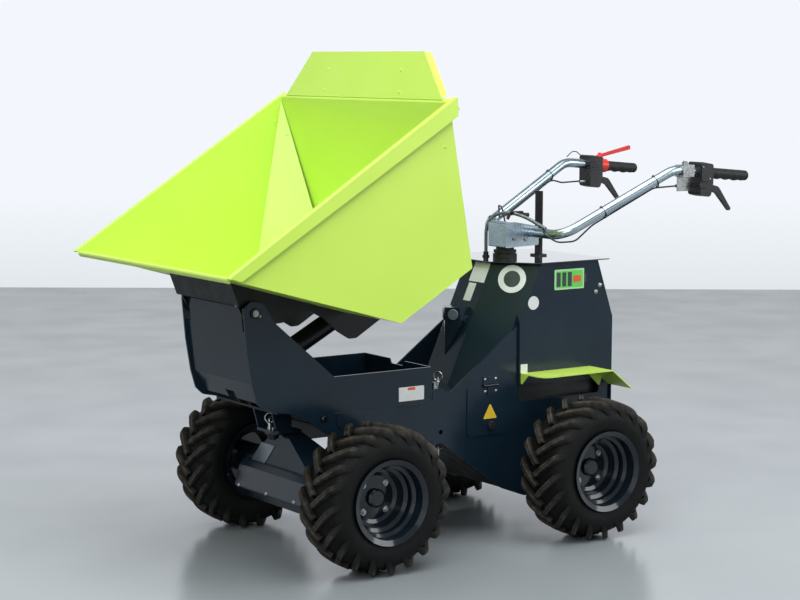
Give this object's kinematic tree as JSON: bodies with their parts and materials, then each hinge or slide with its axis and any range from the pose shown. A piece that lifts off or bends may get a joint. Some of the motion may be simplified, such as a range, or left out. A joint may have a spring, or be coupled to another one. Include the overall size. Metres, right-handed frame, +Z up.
{
  "type": "site dumper",
  "caption": "Walk-behind battery site dumper: tipping skip on a telescopic ram, plate chassis on treaded wheels, pedestal housing and U-shaped handlebar with hand controls.",
  "frame": {"origin": "on the floor, at the centre of the overall length and width", "axes": "+X towards the skip's lip (forward), +Y to the machine's left, +Z up"},
  "size_m": [1.9372, 0.892, 1.3994],
  "materials": {
    "lime_paint": "gloss",
    "anthracite_paint": "gloss",
    "black_paint": "satin",
    "zinc_steel": "satin",
    "chromed_steel": "polished",
    "black_rubber": "matt",
    "black_plastic": "matt",
    "red_plastic": "gloss",
    "tyre": "matt"
  },
  "bodies": {
    "chassis": {"battery": "black_plastic", "battery_tray": "black_paint", "conduit": "black_plastic", "conduit_gland": "black_plastic", "control_post": "black_paint", "coupling_pins": "zinc_steel", "front_axle": "black_paint", "front_axle_cover": "anthracite_paint", "front_axle_hanger": "anthracite_paint", "front_axle_pin": "black_paint", "front_fascia": "anthracite_paint", "front_rear_wall": "anthracite_paint", "front_side_plate_left": "anthracite_paint", "front_side_plate_right": "anthracite_paint", "front_tub_floor": "anthracite_paint", "hatch_hinges": "black_paint", "mudguards": "lime_paint", "pedestal_cover": "anthracite_paint", "ram_anchor": "black_paint", "rear_axle": "black_paint", "rear_belly_pan": "black_paint", "rear_deck": "anthracite_paint", "rear_panel": "anthracite_paint", "rear_side_plate_left": "anthracite_paint", "rear_side_plate_right": "anthracite_paint", "skip_hinge_pins": "black_paint", "steering_boot": "black_rubber", "steering_column": "zinc_steel", "stop_bracket": "anthracite_paint", "top_plate": "anthracite_paint"},
    "wheel_front_left": {"tyre_front_left": "tyre", "rim_front_left": "anthracite_paint"},
    "wheel_front_right": {"tyre_front_right": "tyre", "rim_front_right": "anthracite_paint"},
    "wheel_rear_left": {"tyre_rear_left": "tyre", "rim_rear_left": "anthracite_paint"},
    "wheel_rear_right": {"tyre_rear_right": "tyre", "rim_rear_right": "anthracite_paint"},
    "skip": {"skip_side_left": "lime_paint", "skip_side_right": "lime_paint", "skip_floor": "lime_paint", "skip_rear_wall": "lime_paint", "spill_guard": "lime_paint", "skip_corner_panels": "lime_paint", "skip_subframe": "black_paint"},
    "ram_barrel_body": {"ram_barrel": "black_paint"},
    "ram_stage_body": {"ram_stage": "chromed_steel"},
    "ram_rod_body": {"ram_rod": "chromed_steel"},
    "handlebar": {"steering_head": "zinc_steel", "handlebar_tube": "zinc_steel", "hand_grips": "black_rubber", "control_boxes": "black_plastic", "hand_levers": "black_plastic", "safety_lever": "red_plastic", "throttle_bracket": "zinc_steel", "control_cables": "black_plastic"},
    "hatch_left_body": {"hatch_left": "anthracite_paint"},
    "hatch_right_body": {"hatch_right": "anthracite_paint"}
  },
  "joints": [
    {"name": "wheel_front_left_spin", "type": "hinge", "parent": "chassis", "child": "wheel_front_left", "pos_m": [0.468, 0.344, 0.205], "axis": [0, 1, 0], "continuous": true},
    {"name": "wheel_front_right_spin", "type": "hinge", "parent": "chassis", "child": "wheel_front_right", "pos_m": [0.468, -0.344, 0.205], "axis": [0, 1, 0], "continuous": true},
    {"name": "wheel_rear_left_spin", "type": "hinge", "parent": "chassis", "child": "wheel_rear_left", "pos_m": [-0.28, 0.344, 0.205], "axis": [0, 1, 0], "continuous": true},
    {"name": "wheel_rear_right_spin", "type": "hinge", "parent": "chassis", "child": "wheel_rear_right", "pos_m": [-0.28, -0.344, 0.205], "axis": [0, 1, 0], "continuous": true},
    {"name": "skip_tip", "type": "hinge", "parent": "chassis", "child": "skip", "pos_m": [0.737, 0, 0.705], "axis": [0, 1, 0], "range_deg": [-32, 40]},
    {"name": "ram_pivot", "type": "hinge", "parent": "skip", "child": "ram_barrel_body", "pos_m": [0.35993, 0, 0.65769], "axis": [0, 1, 0], "range_deg": [-6.2, 5]},
    {"name": "ram_stage_slide", "type": "slide", "parent": "ram_barrel_body", "child": "ram_stage_body", "axis": [0.8838, 0, -0.4678], "range_m": [-0.0592, 0.0739]},
    {"name": "ram_rod_slide", "type": "slide", "parent": "ram_stage_body", "child": "ram_rod_body", "axis": [0.8838, 0, -0.4678], "range_m": [-0.0592, 0.0739]},
    {"name": "handlebar_swivel", "type": "hinge", "parent": "chassis", "child": "handlebar", "pos_m": [-0.23, 0, 0.8], "axis": [0, 0, 1], "range_deg": [-20, 20], "deforming": ["conduit"]},
    {"name": "hatch_left_hinge", "type": "hinge", "parent": "chassis", "child": "hatch_left_body", "pos_m": [-0.048, 0.1763, 0.442], "axis": [1, 0, 0], "range_deg": [0, 100]},
    {"name": "hatch_right_hinge", "type": "hinge", "parent": "chassis", "child": "hatch_right_body", "pos_m": [-0.048, -0.1763, 0.442], "axis": [-1, 0, 0], "range_deg": [0, 100]}
  ],
  "couplings": [
    {"joint": "ram_pivot", "follows": "skip_tip", "ratio": -0.1496},
    {"joint": "ram_stage_slide", "follows": "skip_tip", "m_per_rad": 0.10561},
    {"joint": "ram_rod_slide", "follows": "skip_tip", "m_per_rad": 0.10561}
  ]
}
